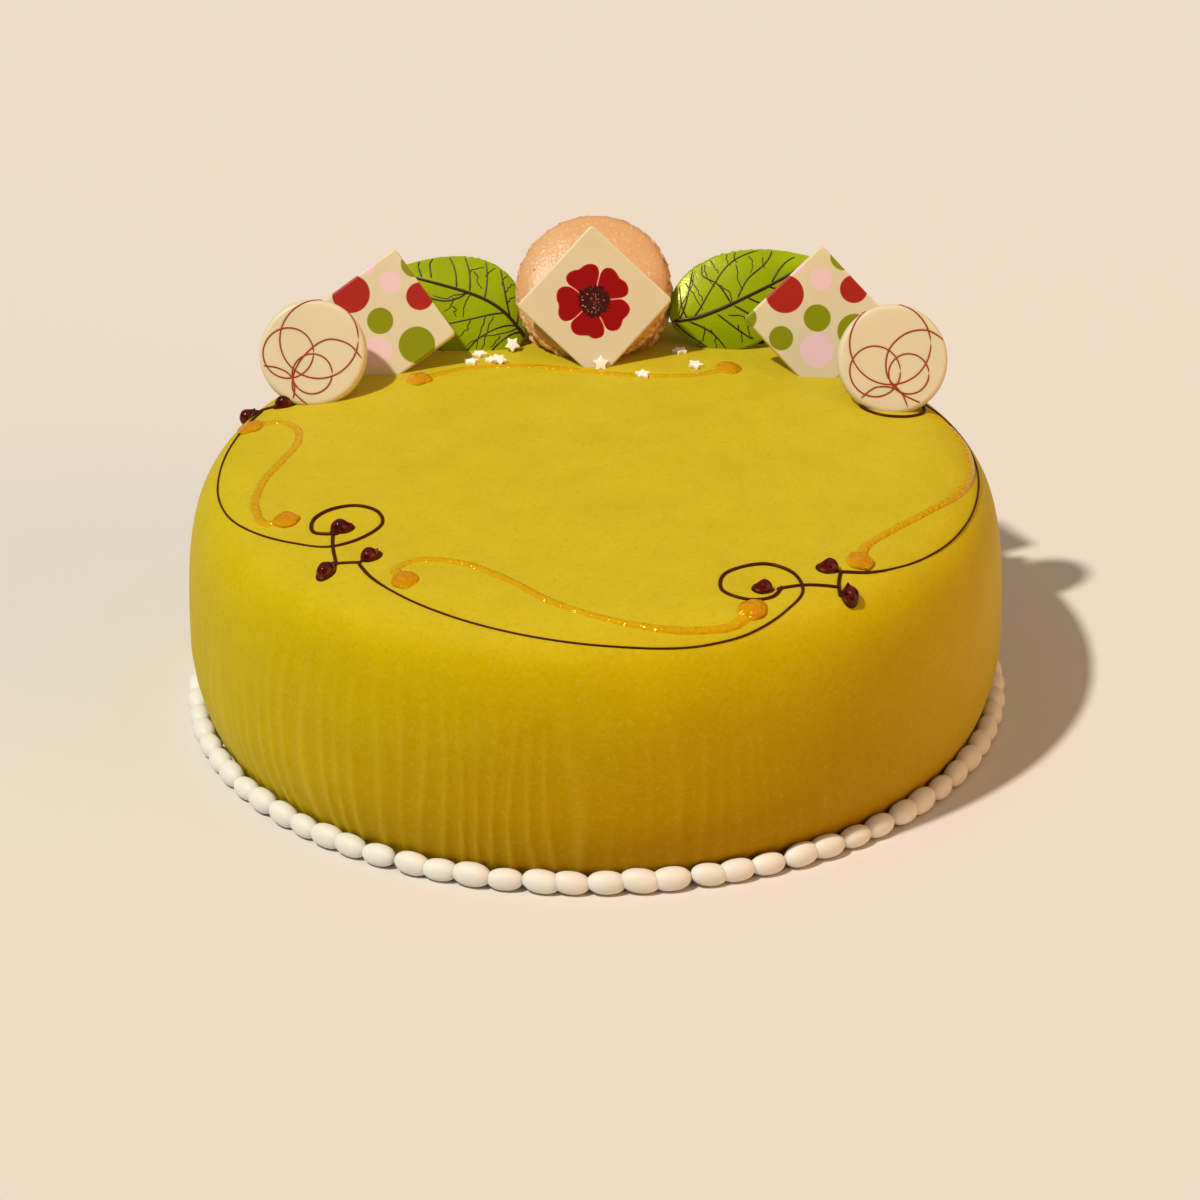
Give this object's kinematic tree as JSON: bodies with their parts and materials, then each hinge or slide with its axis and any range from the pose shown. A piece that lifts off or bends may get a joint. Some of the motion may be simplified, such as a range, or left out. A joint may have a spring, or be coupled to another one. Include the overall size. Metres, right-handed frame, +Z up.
{
  "type": "princess cake",
  "caption": "Round domed cake covered in yellow marzipan, with a pearl border, piped chocolate scrolls and a standing row of chocolate plaques, leaves and a macaron.",
  "frame": {"origin": "centre of the cake's flat base, on the surface it stands on", "axes": "+Z up; -Y towards the front, so the toppings stand along the back at +Y; +X to the right seen from the front"},
  "size_m": [0.218, 0.218, 0.1057],
  "materials": {
    "marzipan": "matte, faintly speckled",
    "pearl_icing": "satin",
    "macaron_biscuit": "matte, ruffled foot",
    "dark_ganache": "satin",
    "white_chocolate": "smooth satin",
    "green_chocolate": "glossy"
  },
  "bodies": {
    "root": {"cake": "marzipan", "pearl_border": "pearl_icing", "macaron_front_shell": "macaron_biscuit", "macaron_filling": "dark_ganache", "macaron_back_shell": "macaron_biscuit", "flower_plaque": "white_chocolate", "dotted_plaque_left": "white_chocolate", "dotted_plaque_right": "white_chocolate", "disc_left": "white_chocolate", "disc_right": "white_chocolate", "leaf_left": "green_chocolate", "leaf_right": "green_chocolate"}
  },
  "joints": []
}
